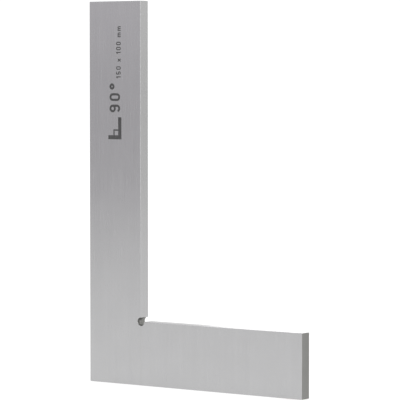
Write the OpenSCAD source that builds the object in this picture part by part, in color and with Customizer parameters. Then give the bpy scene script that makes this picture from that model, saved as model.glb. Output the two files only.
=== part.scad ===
// Flat steel square: a long and a short leg of flat bar, joined at a right angle and ground all over.
//
// The square stands on the outer edge of its short leg. X runs along the short leg, Z runs up the long
// leg, and Y runs through the thickness, with the marked front face towards -Y. The origin is the middle
// of the foot. The short leg ends in a tongue that sits in a slot of the long leg and is brazed there.
// Both legs are ground flush after brazing, so each is its share of one ground envelope.

/* [Legs] */
// Outside length of the long leg, mm
long_leg_length = 150; // [120:5:300]
// Outside length of the short leg, mm
short_leg_length = 100; // [70:5:200]
// Width of both legs, mm
leg_width = 25; // [20:1:40]
// Thickness of both legs, mm
thickness = 5; // [4:0.5:8]
// Chamfer that takes the burr off every edge, mm
edge_break = 0.2; // [0.1:0.05:0.4]

/* [Relief hole] */
// Diameter of the hole drilled through the inner corner, mm
relief_d = 3.2; // [2:0.1:5]

/* [Brazed joint] */
// Length of the short leg's tongue, mm
tongue_length = 18; // [8:1:18]
// Thickness of the tongue, mm
tongue_thickness = 1.6; // [1:0.1:2.4]
// Gap that the braze fills, mm
braze_gap = 0.1; // [0.05:0.05:0.2]

/* [Etched marks] */
// Depth of the laser etching, mm
etch_depth = 0.1; // [0.05:0.05:0.2]
// Height of the angle mark, mm
angle_mark_height = 6.4; // [4:0.2:8]
// Height of the figures beside the angle symbol, mm
angle_figure_height = 5.2; // [3:0.2:8]
// Width of the strokes of those figures, mm
angle_figure_stroke = 0.9; // [0.4:0.1:1.2]
// Height of the size mark's figures, mm
size_figure_height = 2.3; // [1.6:0.1:4]
// Width of the size mark's strokes, mm
size_figure_stroke = 0.4; // [0.2:0.02:0.6]
// Distance from the top of the long leg down to the end of the marks, mm
marks_below_top = 9.8; // [4:0.2:20]

/* [Hidden] */
$fn = 96;

ground_steel = [0.66, 0.66, 0.67];
braze_silver = [0.70, 0.70, 0.68];
etched_oxide = [0.16, 0.16, 0.16];

face_y = thickness / 2;
past = 1;            // how far a cutter runs past the surface that it cuts
letter_gap = 0.65;   // clear space between two letters, in units of half a letter's height
mark_gap = 1.9;      // clear space between the two marks, and between the symbol and its figures
degree_mark = "90o";
size_label = str(long_leg_length, " x ", short_leg_length, " mm");

// Outline of the square from its outer corner, anticlockwise. The inner corner is number 3.
INNER = 3;
outline = [
    [0, 0],
    [short_leg_length, 0],
    [short_leg_length, leg_width],
    [leg_width, leg_width],
    [leg_width, long_leg_length],
    [0, long_leg_length]
];

// A unit letter is 2 high and up to 1 wide along the middle of its strokes. A stroke is a straight,
// [from, to], or an arc, [centre, radius, first angle, last angle]. The sign "o" is the degree ring.
GLYPHS = [
    ["0", 1, [[[0, 0.5], [0, 1.5]], [[1, 0.5], [1, 1.5]],
        [[0.5, 1.5], 0.5, 0, 180], [[0.5, 0.5], 0.5, 180, 360]]],
    ["1", 0.45, [[[0.45, 0], [0.45, 2]], [[0.45, 2], [0, 1.6]]]],
    ["2", 1, [[[0.5, 1.5], 0.5, -40, 170], [[0.88, 1.18], [0, 0]], [[0, 0], [1, 0]]]],
    ["3", 1, [[[0.5, 1.5], 0.5, -90, 150], [[0.5, 0.5], 0.5, -150, 90]]],
    ["4", 1, [[[0.75, 0], [0.75, 2]], [[0.75, 2], [0, 0.6]], [[0, 0.6], [1, 0.6]]]],
    ["5", 1, [[[0.1, 2], [0.9, 2]], [[0.1, 0.8], [0.1, 2]], [[0.5, 0.5], 0.5, -145, 143]]],
    ["6", 1, [[[0.5, 0.5], 0.5, 0, 360], [[0, 0.5], [0, 1.5]], [[0.5, 1.5], 0.5, 35, 180]]],
    ["7", 1, [[[0, 2], [1, 2]], [[1, 2], [0.35, 0]]]],
    ["8", 1, [[[0.5, 1.55], 0.45, 0, 360], [[0.5, 0.55], 0.55, 0, 360]]],
    ["9", 1, [[[0.5, 1.5], 0.5, 0, 360], [[1, 0.5], [1, 1.5]], [[0.5, 0.5], 0.5, -145, 0]]],
    ["x", 0.9, [[[0, 0], [0.9, 1.2]], [[0, 1.2], [0.9, 0]]]],
    ["m", 1.5, [[[0, 0], [0, 1.2]], [[0.75, 0], [0.75, 0.82]], [[1.5, 0], [1.5, 0.82]],
        [[0.375, 0.82], 0.375, 0, 180], [[1.125, 0.82], 0.375, 0, 180]]],
    ["o", 0.72, [[[0.36, 1.64], 0.36, 0, 360]]],
    [" ", 0.15, []]
];

function glyph(letter) = [for (g = GLYPHS) if (g[0] == letter) g][0];

// Width of one letter with the space after it.
function advance(letter, unit, stroke) = glyph(letter)[1] * unit + stroke + letter_gap * unit;

// Where the letter number i starts.
function pen(label, i, unit, stroke) =
    i == 0 ? 0 : pen(label, i - 1, unit, stroke) + advance(label[i - 1], unit, stroke);

function word_length(label, unit, stroke) = pen(label, len(label), unit, stroke) - letter_gap * unit;

// The marks read up the long leg, so they are laid out in (reading direction, letter height).
size_scale = (size_figure_height - size_figure_stroke) / 2;
angle_scale = (angle_figure_height - angle_figure_stroke) / 2;
size_mark_length = word_length(size_label, size_scale, size_figure_stroke);
symbol_length = angle_mark_height * 1.35;
angle_mark_length = symbol_length + mark_gap
    + word_length(degree_mark, angle_scale, angle_figure_stroke);
size_mark_z = long_leg_length - marks_below_top - size_mark_length;
angle_mark_z = size_mark_z - mark_gap - angle_mark_length;
marks_foot_x = (leg_width + angle_mark_height) / 2;
figures_lift = (angle_mark_height - angle_figure_height) / 2;
size_lift = 0.25;    // how far the size mark stands above the foot of the angle mark

// ---- Ground envelope -------------------------------------------------------------------------------

// Moves the outline's corner frame to the square's own frame.
module in_place() {
    translate([-short_leg_length / 2, 0, 0]) children();
}

// Upright block between two corners of the outline's plane, centred on the thickness.
module slab(low, high, depth) {
    translate([low[0], -depth / 2, low[1]]) cube([high[0] - low[0], depth, high[1] - low[1]]);
}

// Half-space block whose face lies on the chamfer of the edge from p to q, on the front or the back.
// It stops short of the inner corner, where the relief hole takes over, and runs past outer corners.
module edge_cutter(p, q, side) {
    along = q - p;
    start = p == outline[INNER] ? relief_d * 0.3 : -past;
    stop = q == outline[INNER] ? -relief_d * 0.3 : past;
    depth = edge_break / sqrt(2);
    translate([p[0], side * face_y, p[1]])
        rotate([0, -atan2(along[1], along[0]), 0])
            rotate([side > 0 ? -45 : -135, 0, 0])
                translate([start, -depth, -past])
                    cube([norm(along) + stop - start, past + depth, 2 * past]);
}

// The same kind of block standing through the thickness, for an outer corner of the outline.
module corner_cutter(p) {
    out = [p[0] == 0 ? -1 : 1, p[1] == 0 ? -1 : 1];
    depth = edge_break / sqrt(2);
    translate([p[0], 0, p[1]])
        rotate([0, -atan2(out[1], out[0]), 0])
            translate([-depth, -face_y - past, -past])
                cube([past + depth, thickness + 2 * past, 2 * past]);
}

// The drill and the light countersink that deburrs the hole on both faces, as one turned shape. It is
// turned so that the seam of the round surface points into the open angle, clear of both legs.
module relief_drill() {
    r = relief_d / 2;
    rim = face_y + edge_break;
    half = [
        [r, face_y - edge_break],
        [r + 2 * edge_break, rim],
        [r + 2 * edge_break, face_y + past],
        [0, face_y + past]
    ];
    mirrored = [for (i = [len(half) - 1 : -1 : 0]) [half[i][0], -half[i][1]]];
    translate([leg_width, 0, leg_width])
        rotate([0, -45, 0])
            rotate([90, 0, 0])
                rotate_extrude() polygon(concat(half, mirrored));
}

// The cutters in the order in which they are used: twelve long edges, five outer corners, the drill.
CUTS = concat(
    [for (i = [0 : len(outline) - 1]) for (side = [-1, 1]) ["edge", i, side]],
    [for (i = [0 : len(outline) - 1]) if (i != INNER) ["corner", i]],
    [["relief"]]
);

module cutter(cut) {
    if (cut[0] == "edge") edge_cutter(outline[cut[1]], outline[(cut[1] + 1) % len(outline)], cut[2]);
    if (cut[0] == "corner") corner_cutter(outline[cut[1]]);
    if (cut[0] == "relief") relief_drill();
}

// The whole square as it leaves the grinder, after the first so many cuts.
module ground_square(cuts = len(CUTS)) {
    if (cuts == 0) {
        union() {
            slab([0, 0], [leg_width, long_leg_length], thickness);
            slab([0, 0], [short_leg_length, leg_width], thickness);
        }
    } else {
        difference() {
            ground_square(cuts - 1);
            cutter(CUTS[cuts - 1]);
        }
    }
}

// ---- Brazed joint ----------------------------------------------------------------------------------

// The tongue, from its end inside the long leg to the shoulder of the short leg.
module tongue_zone() {
    slab([leg_width - tongue_length, -past], [leg_width + braze_gap + past, leg_width], tongue_thickness);
}

// The slot milled in the long leg, a braze gap larger than the tongue all round.
module slot_zone() {
    slab(
        [leg_width - tongue_length - braze_gap, -past],
        [leg_width + braze_gap, leg_width + braze_gap],
        tongue_thickness + 2 * braze_gap
    );
}

// The gap at the shoulder, between the end of the bar and the side of the long leg.
module shoulder_zone() {
    slab([leg_width, -past], [leg_width + braze_gap, leg_width + past], thickness + 2 * past);
}

// ---- Etched marks ----------------------------------------------------------------------------------

// Straight stroke with round ends.
module straight(from, to, width) {
    along = to - from;
    translate(from) rotate(atan2(along[1], along[0]))
        translate([0, -width / 2]) square([norm(along), width]);
    for (end = [from, to]) translate(end) circle(d = width);
}

// Sector that keeps the part of a ring between two angles.
module sector(radius, first, last) {
    steps = ceil((last - first) / 60);
    reach = radius / cos((last - first) / steps / 2);
    rim = [for (i = [0 : steps])
        let (a = first + (last - first) * i / steps) [reach * cos(a), reach * sin(a)]];
    polygon(concat([[0, 0]], rim));
}

// Curved stroke: a full ring, or part of one with round ends.
module curved(centre, radius, first, last, width) {
    translate(centre) {
        if (last - first >= 360) {
            ring(radius, width);
        } else {
            intersection() {
                ring(radius, width);
                sector(radius + width, first, last);
            }
            for (a = [first, last])
                translate(radius * [cos(a), sin(a)]) circle(d = width);
        }
    }
}

module ring(radius, width) {
    difference() {
        circle(r = radius + width / 2);
        circle(r = radius - width / 2);
    }
}

// A word set along +X, standing on the X axis.
module word(label, unit, width) {
    for (i = [0 : len(label) - 1])
        translate([width / 2 + pen(label, i, unit, width), width / 2])
            for (stroke = glyph(label[i])[2])
                if (len(stroke) == 2)
                    straight(stroke[0] * unit, stroke[1] * unit, width);
                else
                    curved(stroke[0] * unit, stroke[1] * unit, stroke[2], stroke[3], width);
}

// A small square drawn with its two legs, and the little box that stands for a right angle.
module angle_symbol() {
    bar = angle_mark_height / 4;
    box = angle_mark_height * 0.36;
    line = angle_mark_height * 0.09;
    square([bar, angle_mark_height]);
    square([symbol_length, bar]);
    translate([bar, bar]) difference() {
        square(box);
        square(box - line);
    }
}

module angle_mark_shape() {
    angle_symbol();
    translate([symbol_length + mark_gap, figures_lift])
        word(degree_mark, angle_scale, angle_figure_stroke);
}

module size_mark_shape() {
    translate([0, size_lift]) word(size_label, size_scale, size_figure_stroke);
}

// Turns a flat shape to read up the long leg and sinks it into the front face, its foot at marks_foot_x.
module etched(start_z, proud = 0) {
    translate([marks_foot_x, etch_depth - face_y, start_z])
        rotate([90, -90, 0])
            linear_extrude(etch_depth + proud) children();
}

// ---- Pieces ----------------------------------------------------------------------------------------

module long_leg() {
    color(ground_steel) in_place() difference() {
        intersection() {
            ground_square();
            slab([-past, -past], [leg_width, long_leg_length + past], thickness + 2 * past);
        }
        slot_zone();
        etched(angle_mark_z, past) angle_mark_shape();
        etched(size_mark_z, past) size_mark_shape();
    }
}

module short_leg() {
    color(ground_steel) in_place() intersection() {
        ground_square();
        union() {
            slab(
                [leg_width + braze_gap, -past],
                [short_leg_length + past, leg_width + past],
                thickness + 2 * past
            );
            tongue_zone();
        }
    }
}

module braze_seam() {
    color(braze_silver) in_place() difference() {
        intersection() {
            ground_square();
            union() {
                slot_zone();
                shoulder_zone();
            }
        }
        tongue_zone();
    }
}

module angle_mark() {
    color(etched_oxide) in_place() etched(angle_mark_z) angle_mark_shape();
}

module size_mark() {
    color(etched_oxide) in_place() etched(size_mark_z) size_mark_shape();
}

long_leg();
short_leg();
braze_seam();
angle_mark();
size_mark();
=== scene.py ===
import math

import bmesh
import bpy
from mathutils import Matrix, Vector


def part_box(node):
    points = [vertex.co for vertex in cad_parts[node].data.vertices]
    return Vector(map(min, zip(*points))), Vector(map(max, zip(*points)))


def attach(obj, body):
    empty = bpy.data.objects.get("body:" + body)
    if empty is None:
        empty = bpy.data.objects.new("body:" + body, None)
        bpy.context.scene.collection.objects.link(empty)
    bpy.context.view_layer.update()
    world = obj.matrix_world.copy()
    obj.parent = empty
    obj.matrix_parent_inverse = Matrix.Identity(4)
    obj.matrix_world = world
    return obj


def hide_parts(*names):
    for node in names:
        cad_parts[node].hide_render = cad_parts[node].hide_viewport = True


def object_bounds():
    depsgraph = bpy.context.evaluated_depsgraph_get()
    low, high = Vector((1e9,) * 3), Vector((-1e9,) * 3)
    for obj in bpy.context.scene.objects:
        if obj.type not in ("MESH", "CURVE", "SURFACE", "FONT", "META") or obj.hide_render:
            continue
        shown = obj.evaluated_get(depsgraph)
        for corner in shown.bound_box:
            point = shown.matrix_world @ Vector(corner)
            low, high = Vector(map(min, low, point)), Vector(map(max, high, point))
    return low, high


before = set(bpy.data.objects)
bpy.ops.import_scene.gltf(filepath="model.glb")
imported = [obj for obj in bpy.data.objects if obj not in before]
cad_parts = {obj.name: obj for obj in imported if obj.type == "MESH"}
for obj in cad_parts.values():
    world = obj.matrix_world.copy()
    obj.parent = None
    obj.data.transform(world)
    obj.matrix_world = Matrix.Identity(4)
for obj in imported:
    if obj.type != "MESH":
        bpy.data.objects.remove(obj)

cad_low, cad_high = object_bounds()

# ---- Long leg ---------------------------------------------------------------------------------------
# A flat bar of stainless tool steel, hardened, slotted at its foot for the short leg's tongue, and
# surface ground on both faces after brazing, so its grain runs up the leg. Every edge is broken with a
# stone, and a relief hole is drilled where the two inner edges meet.

MM = 0.001
STONED_EDGE = 0.2 * MM        # radius that the stone leaves along each edge
STONED_CORNER = 0.26 * MM     # radius where two edges meet, seen from the front
RELIEF_RADIUS = 1.6 * MM
SLOT_THICKNESS = 1.8 * MM
PAST = 1.0 * MM               # how far a cutting block runs past the steel
CORNER_STEPS = 4              # flats in a quarter turn of a stoned edge or corner
HOLE_STEPS = 36               # flats in the three quarters of the relief hole
SHARP = math.radians(35)      # an edge that turns by more than this stays crisp

long_low, long_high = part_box("long_leg")
short_low, short_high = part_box("short_leg")
seam_low, seam_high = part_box("braze_seam")
inner_x = long_high.x
inner_z = short_high.z
half_thickness = long_high.y


def arc(centre_x, centre_z, radius, first, last, steps):
    """Points along an arc, with the angles in degrees."""
    angles = [math.radians(first + (last - first) * i / steps) for i in range(steps + 1)]
    return [(centre_x + radius * math.cos(a), centre_z + radius * math.sin(a)) for a in angles]


def ground_outline(inset):
    """Outline of the whole square, anticlockwise from the front, drawn in by the inset."""
    corner = STONED_CORNER
    rounding = corner - inset
    relief = RELIEF_RADIUS + inset
    lean = math.degrees(math.asin(inset / relief))
    outline = arc(long_low.x + corner, long_low.z + corner, rounding, 180, 270, CORNER_STEPS)
    outline += arc(short_high.x - corner, long_low.z + corner, rounding, 270, 360, CORNER_STEPS)
    outline += arc(short_high.x - corner, inner_z - corner, rounding, 0, 90, CORNER_STEPS)
    outline += arc(inner_x, inner_z, relief, -lean, -270 + lean, HOLE_STEPS)
    outline += arc(inner_x - corner, long_high.z - corner, rounding, 0, 90, CORNER_STEPS)
    outline += arc(long_low.x + corner, long_high.z - corner, rounding, 90, 180, CORNER_STEPS)
    return outline


def new_piece(name, bm):
    """An object with its place in its mesh."""
    mesh = bpy.data.meshes.new(name)
    bm.to_mesh(mesh)
    bm.free()
    piece = bpy.data.objects.new(name, mesh)
    bpy.context.scene.collection.objects.link(piece)
    return piece


def ground_square(name):
    """The whole square as ground and stoned: outlines stacked through the thickness."""
    turns = [math.radians(90 * i / CORNER_STEPS) for i in range(CORNER_STEPS + 1)]
    front = [
        (-half_thickness + STONED_EDGE * (1 - math.cos(turn)), STONED_EDGE * (1 - math.sin(turn)))
        for turn in turns
    ]
    back = [(-y, inset) for y, inset in reversed(front)]
    bm = bmesh.new()
    rings = [[bm.verts.new((x, y, z)) for x, z in ground_outline(inset)] for y, inset in front + back]
    count = len(rings[0])
    for near, far in zip(rings, rings[1:]):
        for i in range(count):
            j = (i + 1) % count
            bm.faces.new((near[i], near[j], far[j], far[i]))
    bm.faces.new(rings[0])
    bm.faces.new(rings[-1])
    bmesh.ops.recalc_face_normals(bm, faces=bm.faces)
    return new_piece(name, bm)


def block(low, high):
    """A cutting block between two corners."""
    bm = bmesh.new()
    size = Vector(high) - Vector(low)
    centre = (Vector(low) + Vector(high)) / 2
    place = Matrix.Translation(centre) @ Matrix.Diagonal((*size, 1))
    bmesh.ops.create_cube(bm, size=1.0, matrix=place)
    return new_piece("block", bm)


def settle(piece):
    """Turns a piece with live modifiers into a plain mesh."""
    shown = piece.evaluated_get(bpy.context.evaluated_depsgraph_get())
    mesh = bpy.data.meshes.new_from_object(shown)
    piece.modifiers.clear()
    piece.data = mesh


def machine(piece, tool, operation):
    """Cuts a piece with another, trims it to the other, or joins the other to it."""
    modifier = piece.modifiers.new("machine", "BOOLEAN")
    modifier.solver = "EXACT"
    modifier.operation = operation
    modifier.object = tool
    settle(piece)
    bpy.data.objects.remove(tool)


def grain_and_edges(piece):
    """Lays the grain map, in metres with V along the grain, and keeps the flat faces flat."""
    bm = bmesh.new()
    bm.from_mesh(piece.data)
    bmesh.ops.remove_doubles(bm, verts=bm.verts, dist=1e-7)
    bm.normal_update()
    grain = bm.loops.layers.uv.new("grain")
    for face in bm.faces:
        normal = face.normal
        face.smooth = True
        for corner in face.loops:
            x, y, z = corner.vert.co
            if abs(normal.z) > 0.4:
                corner[grain].uv = (y, x)
            elif abs(normal.x) > 0.7:
                corner[grain].uv = (y, z)
            else:
                corner[grain].uv = (x, z)
    for edge in bm.edges:
        edge.smooth = edge.is_manifold and edge.calc_face_angle(0) < SHARP
    bm.to_mesh(piece.data)
    bm.free()
    weighted = piece.modifiers.new("flat faces", "WEIGHTED_NORMAL")
    weighted.keep_sharp = True
    settle(piece)


class Nodes:
    """Short hand for building a tree of nodes."""

    def __init__(self, tree):
        self.tree = tree
        tree.nodes.clear()

    def add(self, kind, inputs=None, **settings):
        node = self.tree.nodes.new(kind)
        for name, value in settings.items():
            setattr(node, name, value)
        for name, value in (inputs or {}).items():
            if isinstance(value, bpy.types.NodeSocket):
                self.tree.links.new(value, node.inputs[name])
            else:
                node.inputs[name].default_value = value
        return node

    def noise(self, vector, scale, detail=3.0, roughness=0.55):
        values = {"Vector": vector, "Scale": scale, "Detail": detail, "Roughness": roughness}
        return self.add("ShaderNodeTexNoise", values).outputs["Fac"]

    def stretch(self, vector, scale):
        return self.add("ShaderNodeMapping", {"Vector": vector, "Scale": scale}).outputs["Vector"]

    def span(self, value, low, high, from_low=0.3, from_high=0.7):
        """Value moved to low and high from the range it has, which for a noise is about 0.3 to 0.7."""
        values = {
            "Value": value,
            "From Min": from_low,
            "From Max": from_high,
            "To Min": low,
            "To Max": high,
        }
        return self.add("ShaderNodeMapRange", values).outputs["Result"]

    def math(self, operation, first, second):
        return self.add("ShaderNodeMath", {0: first, 1: second}, operation=operation).outputs[0]

    def blend(self, factor, first, second):
        node = self.add("ShaderNodeMix", {0: factor, 6: first, 7: second}, data_type="RGBA")
        return node.outputs[2]

    def bump(self, height, strength, distance):
        values = {"Height": height, "Strength": strength, "Distance": distance}
        return self.add("ShaderNodeBump", values).outputs["Normal"]

    def surface(self, inputs):
        shader = self.add("ShaderNodeBsdfPrincipled", inputs)
        self.add("ShaderNodeOutputMaterial", {"Surface": shader.outputs[0]})
        return shader


def nodes_of(owner):
    """The nodes of a material or of the world, cleared."""
    owner.use_nodes = True
    return Nodes(owner.node_tree)


def grey(level, blue=1.0):
    return (level, level, level * blue, 1)


SCRATCHES_ACROSS = 5200       # per metre across the grain
SCRATCHES_ALONG = 70          # per metre along it, so each is about 14 mm long
PASSES_ACROSS = 420           # the wheel's passes, in the same measures
PASSES_ALONG = 9
SCRATCH_DEPTH = 0.004 * MM


def ground_finish(name, level, blue, roughness, anisotropy, streaks):
    """Surface-ground steel: fine parallel scratches, broader streaks of the wheel, faint clouds."""
    material = bpy.data.materials.new(name)
    nodes = nodes_of(material)
    grain = nodes.add("ShaderNodeUVMap", uv_map="grain").outputs["UV"]
    place = nodes.add("ShaderNodeTexCoord").outputs["Object"]
    fine_map = nodes.stretch(grain, (SCRATCHES_ACROSS, SCRATCHES_ALONG, 1))
    scratches = nodes.noise(fine_map, 1.0, 4.0, 0.65)
    passes = nodes.noise(nodes.stretch(grain, (PASSES_ACROSS, PASSES_ALONG, 1)), 1.0, 2.0)
    clouds = nodes.noise(place, 110.0, 2.0)
    broad = 0.6 * streaks
    fine_tone = nodes.span(scratches, -streaks, streaks)
    tone = nodes.math("ADD", fine_tone, nodes.span(passes, -broad, broad))
    tone = nodes.math("ADD", tone, nodes.span(clouds, -broad, broad))
    factor = nodes.span(tone, 0.0, 1.0, -0.5, 0.5)
    colour = nodes.blend(factor, grey(level * 0.5, blue), grey(level * 1.5, blue))
    rough = nodes.span(scratches, roughness - 0.03, roughness + 0.03)
    height = nodes.math("ADD", scratches, nodes.math("MULTIPLY", passes, 0.3))
    tangent = nodes.add("ShaderNodeTangent", direction_type="UV_MAP", uv_map="grain").outputs[0]
    nodes.surface({
        "Base Color": colour,
        "Metallic": 1.0,
        "Roughness": rough,
        "Anisotropic": anisotropy,
        "Tangent": tangent,
        "Normal": nodes.bump(height, 0.15, SCRATCH_DEPTH),
    })
    return material


def drilled_finish_with_painted_shade(name):
    """Wall of the drilled hole: rough steel with the drill's turning marks, its base colour darkened as
    painted shade inside the hole.
    """
    material = bpy.data.materials.new(name)
    nodes = nodes_of(material)
    place = nodes.add("ShaderNodeTexCoord").outputs["Object"]
    rings = nodes.noise(nodes.stretch(place, (300, 6000, 300)), 1.0, 3.0)
    stain_and_painted_shade = nodes.noise(place, 900.0, 2.0)
    nodes.surface({
        # The dark base colour is painted shade inside the hole; the blotches between its two greys are
        # random stain.
        "Base Color": nodes.blend(nodes.span(stain_and_painted_shade, 0.0, 1.0), grey(0.14, 0.96), grey(0.32, 0.97)),
        "Metallic": 1.0,
        "Roughness": nodes.span(rings, 0.42, 0.6),
        "Normal": nodes.bump(rings, 0.6, 0.02 * MM),
    })
    return material


GROUND = ground_finish("ground steel", 0.473, 1.006, roughness=0.25, anisotropy=0.78, streaks=0.02)
END_GRAIN = ground_finish("milled end", 0.24, 0.96, roughness=0.40, anisotropy=0.2, streaks=0.09)
# The hole wall's material has painted shade in its dark base colour; its roughness and turning marks
# are real.
DRILLED_PAINTED_SHADE = drilled_finish_with_painted_shade("drilled wall painted shade")


def finish_faces(piece):
    """Ground steel all over, but for the milled ends of the bars and the wall of the relief hole."""
    finishes = (GROUND, END_GRAIN, DRILLED_PAINTED_SHADE)
    wall_reach = RELIEF_RADIUS * 1.02
    end_reach = STONED_EDGE / 4
    for material in finishes:
        piece.data.materials.append(material)
    for face in piece.data.polygons:
        x, y, z = face.center
        from_hole = math.hypot(x - inner_x, z - inner_z)
        # The faces of the hole wall take the material with painted shade.
        if from_hole < wall_reach and abs(face.normal.y) < 0.1:
            face.material_index = finishes.index(DRILLED_PAINTED_SHADE)
        elif x > short_high.x - end_reach or z > long_high.z - end_reach:
            face.material_index = finishes.index(END_GRAIN)


def deep_block(low_x, low_z, high_x, high_z, thickness):
    """A cutting block given by its corners seen from the front, centred on the thickness."""
    return block((low_x, -thickness / 2, low_z), (high_x, thickness / 2, high_z))


def slot_block():
    return deep_block(seam_low.x, long_low.z - PAST, seam_high.x, seam_high.z, SLOT_THICKNESS)


through = 2 * (half_thickness + PAST)
long_leg = ground_square("long_leg_ground")
long_bar = deep_block(long_low.x - PAST, -PAST, inner_x, long_high.z + PAST, through)
machine(long_leg, long_bar, "INTERSECT")
machine(long_leg, slot_block(), "DIFFERENCE")
grain_and_edges(long_leg)
finish_faces(long_leg)
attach(long_leg, "root")
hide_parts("long_leg")

# ---- Short leg --------------------------------------------------------------------------------------
# A shorter length of the same bar, milled down to a tongue that goes into the long leg's slot. It is
# brazed there and ground together with the long leg, so its grain runs the same way.

TONGUE_THICKNESS = 1.6 * MM


def tongue_block():
    return deep_block(short_low.x, -PAST, seam_high.x + PAST / 2, inner_z, TONGUE_THICKNESS)


short_leg = ground_square("short_leg_ground")
bar_and_tongue = deep_block(seam_high.x, -PAST, short_high.x + PAST, inner_z + PAST, through)
machine(bar_and_tongue, tongue_block(), "UNION")
machine(short_leg, bar_and_tongue, "INTERSECT")
grain_and_edges(short_leg)
finish_faces(short_leg)
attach(short_leg, "root")
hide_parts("short_leg")

# ---- Braze seam -------------------------------------------------------------------------------------
# The film of hard, silvery brazing alloy that ran into the gap around the tongue and at the shoulder.
# It is ground flush with the legs, so all that shows is a line as thin as a hair.

braze_seam = ground_square("braze_seam_ground")
gap = slot_block()
machine(gap, deep_block(inner_x, -PAST, seam_high.x, inner_z + PAST, through), "UNION")
machine(braze_seam, gap, "INTERSECT")
machine(braze_seam, tongue_block(), "DIFFERENCE")
grain_and_edges(braze_seam)
braze_seam.data.materials.append(ground_finish("ground braze", 0.43, 0.95, 0.27, 0.7, 0.02))
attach(braze_seam, "root")
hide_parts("braze_seam")

# ---- Etched marks -----------------------------------------------------------------------------------
# A laser darkened the ground face to an oxide: a right-angle symbol with its 90 degrees, and above it
# the size of the square in finer lines, both reading up the long leg.

PROUD = 0.006 * MM            # how far a mark stands off the steel, so that no two faces share a plane
mark_low, mark_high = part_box("angle_mark")
size_low, size_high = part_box("size_mark")
etch_depth = mark_high.y - mark_low.y

# A letter's width and strokes, where a figure is 2 high. A stroke is a straight, (from, to), or an arc,
# (centre, radius, first angle, last angle). The sign "o" is the degree ring.
LETTERS = {
    "0": (1, [((0, 0.5), (0, 1.5)), ((1, 0.5), (1, 1.5)),
              ((0.5, 1.5), 0.5, 0, 180), ((0.5, 0.5), 0.5, 180, 360)]),
    "1": (0.45, [((0.45, 0), (0.45, 2)), ((0.45, 2), (0, 1.6))]),
    "5": (1, [((0.1, 2), (0.9, 2)), ((0.1, 0.8), (0.1, 2)), ((0.5, 0.5), 0.5, -145, 143)]),
    "9": (1, [((0.5, 1.5), 0.5, 0, 360), ((1, 0.5), (1, 1.5)), ((0.5, 0.5), 0.5, -145, 0)]),
    "x": (0.9, [((0, 0), (0.9, 1.2)), ((0, 1.2), (0.9, 0))]),
    "m": (1.5, [((0, 0), (0, 1.2)), ((0.75, 0), (0.75, 0.82)), ((1.5, 0), (1.5, 0.82)),
                ((0.375, 0.82), 0.375, 0, 180), ((1.125, 0.82), 0.375, 0, 180)]),
    "o": (0.72, [((0.36, 1.64), 0.36, 0, 360)]),
    " ": (0.15, []),
}
LETTER_GAP = 0.65
ARC_STEP = 15                 # degrees between the points of an arc


def word_strokes(word, height, width):
    """Middle lines of a word's strokes, laid along +X from the origin."""
    unit = (height - width) / 2
    start = width / 2
    strokes = []
    for letter in word:
        letter_width, lines = LETTERS[letter]
        for line in lines:
            if len(line) == 2:
                points = line
            else:
                (centre_x, centre_y), radius, first, last = line
                steps = math.ceil((last - first) / ARC_STEP)
                points = arc(centre_x, centre_y, radius, first, last, steps)
            strokes.append([(start + x * unit, width / 2 + y * unit) for x, y in points])
        start += (letter_width + LETTER_GAP) * unit + width
    return strokes


def etching_tree():
    """Sweeps flat strokes along their middle lines, rounds the ends and lays them on the face."""
    tree = bpy.data.node_groups.new("etched strokes", "GeometryNodeTree")
    face = tree.interface
    face.new_socket("Geometry", in_out="INPUT", socket_type="NodeSocketGeometry")
    face.new_socket("Stroke width", in_out="INPUT", socket_type="NodeSocketFloat")
    face.new_socket("Depth", in_out="INPUT", socket_type="NodeSocketFloat")
    face.new_socket("Round ends", in_out="INPUT", socket_type="NodeSocketBool")
    face.new_socket("Foot", in_out="INPUT", socket_type="NodeSocketVector")
    face.new_socket("Material", in_out="INPUT", socket_type="NodeSocketMaterial")
    face.new_socket("Geometry", in_out="OUTPUT", socket_type="NodeSocketGeometry")

    nodes = Nodes(tree)
    given = nodes.add("NodeGroupInput").outputs
    paths = nodes.add("GeometryNodeMeshToCurve", {"Mesh": given["Geometry"]}).outputs[0]
    upright = nodes.add("GeometryNodeSetCurveNormal", {"Curve": paths}, mode="Z_UP")
    section = nodes.add("GeometryNodeCurvePrimitiveQuadrilateral", {
        "Width": given["Stroke width"],
        "Height": given["Depth"],
    })
    ribbons = nodes.add("GeometryNodeCurveToMesh", {
        "Curve": upright.outputs[0],
        "Profile Curve": section.outputs[0],
        "Fill Caps": True,
    })
    end = nodes.add("GeometryNodeMeshCylinder", {
        "Vertices": 16,
        "Radius": nodes.math("MULTIPLY", given["Stroke width"], 0.5),
        "Depth": given["Depth"],
    })
    ends = nodes.add("GeometryNodeInstanceOnPoints", {
        "Points": paths,
        "Selection": nodes.add("GeometryNodeCurveEndpointSelection").outputs[0],
        "Instance": end.outputs["Mesh"],
    })
    wanted_ends = nodes.add("GeometryNodeSwitch", {
        "Switch": given["Round ends"],
        "True": ends.outputs[0],
    }, input_type="GEOMETRY")
    parts = nodes.add("GeometryNodeJoinGeometry")
    tree.links.new(ribbons.outputs[0], parts.inputs[0])
    tree.links.new(wanted_ends.outputs[0], parts.inputs[0])
    real = nodes.add("GeometryNodeRealizeInstances", {"Geometry": parts.outputs[0]})
    joining = {"operation": "UNION", "solver": "EXACT"}
    whole = nodes.add("GeometryNodeMeshBoolean", {"Self Intersection": True}, **joining)
    tree.links.new(real.outputs[0], whole.inputs["Mesh 2"])
    laid = nodes.add("GeometryNodeTransform", {
        "Geometry": whole.outputs["Mesh"],
        "Translation": given["Foot"],
        "Rotation": (math.radians(90), math.radians(-90), 0),
    })
    surfaced = nodes.add("GeometryNodeSetMaterial", {
        "Geometry": laid.outputs[0],
        "Material": given["Material"],
    })
    nodes.add("NodeGroupOutput", {"Geometry": surfaced.outputs[0]})
    return tree


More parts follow.
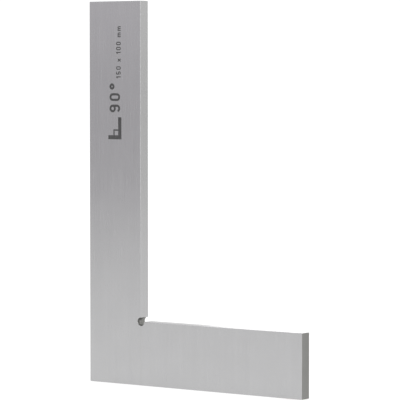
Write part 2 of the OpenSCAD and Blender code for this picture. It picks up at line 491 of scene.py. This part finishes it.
def etched_finish(name):
    """Laser oxide: matte charcoal with the ground scratches still showing through it."""
    material = bpy.data.materials.new(name)
    nodes = nodes_of(material)
    place = nodes.add("ShaderNodeTexCoord").outputs["Object"]
    fine_map = nodes.stretch(place, (SCRATCHES_ACROSS, SCRATCHES_ACROSS, SCRATCHES_ALONG))
    scratches = nodes.noise(fine_map, 1.0, 4.0, 0.65)
    patches = nodes.noise(place, 1600.0, 2.0)
    shade = nodes.math("ADD", nodes.span(scratches, 0.0, 0.5), nodes.span(patches, 0.0, 0.5))
    nodes.surface({
        "Base Color": nodes.blend(shade, grey(0.035), grey(0.085)),
        "Metallic": 0.35,
        "Roughness": nodes.span(scratches, 0.38, 0.5),
        "Normal": nodes.bump(scratches, 0.3, SCRATCH_DEPTH),
    })
    return material


ETCHING = etching_tree()
OXIDE = etched_finish("laser oxide")


def etch(name, strokes, width, foot_x, foot_z, round_ends):
    """One mark, its strokes starting at the foot and reading up the leg."""
    bm = bmesh.new()
    for points in strokes:
        line = [bm.verts.new((x, y, 0)) for x, y in points]
        for first, second in zip(line, line[1:]):
            bm.edges.new((first, second))
    mark = new_piece(name, bm)
    modifier = mark.modifiers.new("etching", "NODES")
    modifier.node_group = ETCHING
    depth = etch_depth + PROUD
    values = {
        "Stroke width": width,
        "Depth": depth,
        "Round ends": round_ends,
        "Foot": (foot_x, mark_low.y - PROUD + depth / 2, foot_z),
        "Material": OXIDE,
    }
    for item in ETCHING.interface.items_tree:
        if item.in_out == "INPUT" and item.name in values:
            modifier[item.identifier] = values[item.name]
    settle(mark)
    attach(mark, "root")
    return mark


MARK_HEIGHT = mark_high.x - mark_low.x
SYMBOL_BAR = MARK_HEIGHT / 4          # width of the symbol's two thick legs
SYMBOL_LENGTH = MARK_HEIGHT * 1.35    # length of the leg that points up the square
SYMBOL_BOX = MARK_HEIGHT * 0.36       # side of the small box in the symbol's corner
SYMBOL_LINE = MARK_HEIGHT * 0.09      # width of that box's lines
FIGURE_HEIGHT = 5.2 * MM
FIGURE_STROKE = 0.9 * MM
SIZE_STROKE = 0.4 * MM
MARK_GAP = 1.9 * MM                   # between the symbol and its figures
figures_lift = (MARK_HEIGHT - FIGURE_HEIGHT) / 2

legs = [
    [(SYMBOL_BAR / 2, 0), (SYMBOL_BAR / 2, MARK_HEIGHT)],
    [(0, SYMBOL_BAR / 2), (SYMBOL_LENGTH, SYMBOL_BAR / 2)],
]
symbol = etch("angle_symbol_etched", legs, SYMBOL_BAR, mark_high.x, mark_low.z, False)
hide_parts("angle_mark")

box_line = SYMBOL_BAR + SYMBOL_BOX - SYMBOL_LINE / 2
box_end = SYMBOL_BAR + SYMBOL_BOX
box_lines = [
    [(box_line, SYMBOL_BAR), (box_line, box_end)],
    [(SYMBOL_BAR, box_line), (box_end, box_line)],
]
etch("angle_box_etched", box_lines, SYMBOL_LINE, mark_high.x, mark_low.z, False)

figures = word_strokes("90o", FIGURE_HEIGHT, FIGURE_STROKE)
figures_z = mark_low.z + SYMBOL_LENGTH + MARK_GAP
etch("angle_figures_etched", figures, FIGURE_STROKE, mark_high.x - figures_lift, figures_z, True)

size_word = "150 x 100 mm"
size_strokes = word_strokes(size_word, size_high.x - size_low.x, SIZE_STROKE)
size_mark = etch("size_figures_etched", size_strokes, SIZE_STROKE, size_high.x, size_low.z, True)
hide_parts("size_mark")

# ---- Studio -----------------------------------------------------------------------------------------
# A lit white table in a pale room. The faces mirror the table in front of them and the greyer side of
# the room beyond it, which gives them their slow fade. Soft boxes at the sides brighten the edges.

TABLE_RADIUS = 1.2
TABLE_DROP = 0.02 * MM                 # keeps the table's plane off the square's foot
FRONT_WAY = Vector((-0.58, -0.81, 0))  # towards what the front faces mirror
RIGHT_WAY = Vector((0.81, 0.58, 0))    # towards what the inner edge and the free end mirror
GLOW_BY_SQUARE = 0.79
GLOW_AT_RIM = 0.60
GLOW_LOST_RIGHT = 0.10                 # how much duller the table is over there


def reach(nodes, vector, way):
    """How far a place or a direction goes one way."""
    product = nodes.add("ShaderNodeVectorMath", {0: vector, 1: way}, operation="DOT_PRODUCT")
    return product.outputs["Value"]


bm = bmesh.new()
bmesh.ops.create_circle(bm, cap_ends=True, segments=96, radius=TABLE_RADIUS)
bmesh.ops.translate(bm, verts=bm.verts, vec=(0, 0, -TABLE_DROP))
table = new_piece("table", bm)
table_white = bpy.data.materials.new("table white")
nodes = nodes_of(table_white)
place = nodes.add("ShaderNodeTexCoord").outputs["Object"]
ahead = nodes.span(reach(nodes, place, FRONT_WAY), 0.0, 1.0, 0.02, TABLE_RADIUS)
glow = nodes.span(nodes.math("POWER", ahead, 0.6), GLOW_BY_SQUARE, GLOW_AT_RIM, 0.0, 1.0)
lost = nodes.span(reach(nodes, place, RIGHT_WAY), 0.0, GLOW_LOST_RIGHT, 0.1, 0.3)
nodes.surface({
    "Base Color": nodes.blend(nodes.noise(place, 60.0), grey(0.24), grey(0.26)),
    "Roughness": 0.9,
    "Emission Color": (1, 1, 1, 1),
    "Emission Strength": nodes.math("SUBTRACT", glow, lost),
})
table.data.materials.append(table_white)

room = bpy.data.worlds.new("room")
bpy.context.scene.world = room
nodes = nodes_of(room)
direction = nodes.add("ShaderNodeTexCoord").outputs["Generated"]
height = nodes.add("ShaderNodeSeparateXYZ", {0: direction}).outputs["Z"]
behind = reach(nodes, direction, -FRONT_WAY)


def room_fade(tint, levels):
    """Brightness of one side of the room, from the floor up: stops of (sine of the rise, level)."""
    fade = nodes.add("ShaderNodeValToRGB", {"Fac": nodes.span(height, 0.0, 1.0, -1.0, 1.0)})
    while len(fade.color_ramp.elements) < len(levels):
        fade.color_ramp.elements.new(0.5)
    for stop, (sine, level) in zip(fade.color_ramp.elements, levels):
        stop.position = (sine + 1) / 2
        stop.color = (*(level * part for part in tint), 1)
    return fade.outputs["Color"]


front_room = room_fade((1.01, 0.985, 1.025), [
    (-1.0, 0.70),
    (-0.08, 0.73),
    (-0.04, 0.64),
    (-0.01, 0.49),
    (0.03, 0.80),
    (0.08, 1.03),
    (0.5, 1.06),
])
side_room = room_fade((1, 1, 1), [(-1.0, 0.85), (0.0, 0.85), (0.15, 1.0), (0.5, 1.06)])
rear_room = room_fade((1, 1, 0.99), [
    (-1.0, 0.86),
    (-0.06, 0.86),
    (0.0, 0.78),
    (0.06, 1.17),
    (0.15, 1.17),
    (0.5, 1.06),
])
room_light = nodes.blend(nodes.span(behind, 0.0, 1.0, -0.8, -0.3), front_room, side_room)
room_light = nodes.blend(nodes.span(behind, 0.0, 1.0, 0.3, 0.8), room_light, rear_room)
lit = nodes.add("ShaderNodeBackground", {"Color": room_light, "Strength": 1.0})
white = nodes.add("ShaderNodeBackground", {"Color": (1, 1, 1, 1), "Strength": 1.1})
seen = nodes.add("ShaderNodeMixShader", {
    0: nodes.add("ShaderNodeLightPath").outputs["Is Camera Ray"],
    1: lit.outputs[0],
    2: white.outputs[0],
})
nodes.add("ShaderNodeOutputWorld", {"Surface": seen.outputs[0]})


def soft_box(name, place, target, size, power):
    """A soft box that lights the square and isn't seen itself. Sizes are in metres, power in watts."""
    light = bpy.data.lights.new(name, "AREA")
    light.shape = "RECTANGLE"
    light.size, light.size_y = size
    light.energy = power
    box = bpy.data.objects.new(name, light)
    box.location = place
    box.rotation_mode = "QUATERNION"
    box.rotation_quaternion = (Vector(target) - Vector(place)).to_track_quat("-Z", "Y")
    box.visible_camera = False
    bpy.context.scene.collection.objects.link(box)


middle = (cad_low + cad_high) / 2
soft_box("right_box", (1.15, -0.85, 0.35), middle, (0.5, 0.9), 3)
soft_box("top_box", (-0.35, -0.3, 1.3), middle, (0.9, 0.9), 2)
soft_box("left_box", (-0.70, 1.85, 0.25), middle, (1.0, 0.6), 3)

# ---- Camera -----------------------------------------------------------------------------------------
# A long lens a little above the middle of the square, looking at the front from the right. It aims at
# the middle of the front, and is moved a few millimetres aside to set the square in the frame.

CAMERA_TURN = math.radians(35.30)
CAMERA_RISE = math.radians(2.93)
CAMERA_DISTANCE = 0.9506
CAMERA_RIGHT = 2.73 * MM
CAMERA_UP = -1.666 * MM
SENSOR_WIDTH = 36.0
LENS_LENGTH = 223.13

back = Vector((
    math.sin(CAMERA_TURN) * math.cos(CAMERA_RISE),
    -math.cos(CAMERA_TURN) * math.cos(CAMERA_RISE),
    math.sin(CAMERA_RISE),
))
right = Vector((math.cos(CAMERA_TURN), math.sin(CAMERA_TURN), 0))
aim = Vector((middle.x, cad_low.y, middle.z))
lens = bpy.data.cameras.new("camera")
lens.sensor_width = SENSOR_WIDTH
lens.lens = LENS_LENGTH
camera = bpy.data.objects.new("camera", lens)
camera.location = aim + back * CAMERA_DISTANCE + right * CAMERA_RIGHT + back.cross(right) * CAMERA_UP
camera.rotation_mode = "QUATERNION"
camera.rotation_quaternion = (-back).to_track_quat("-Z", "Y")
bpy.context.scene.collection.objects.link(camera)
bpy.context.scene.camera = camera
bpy.context.scene.view_settings.view_transform = "Standard"
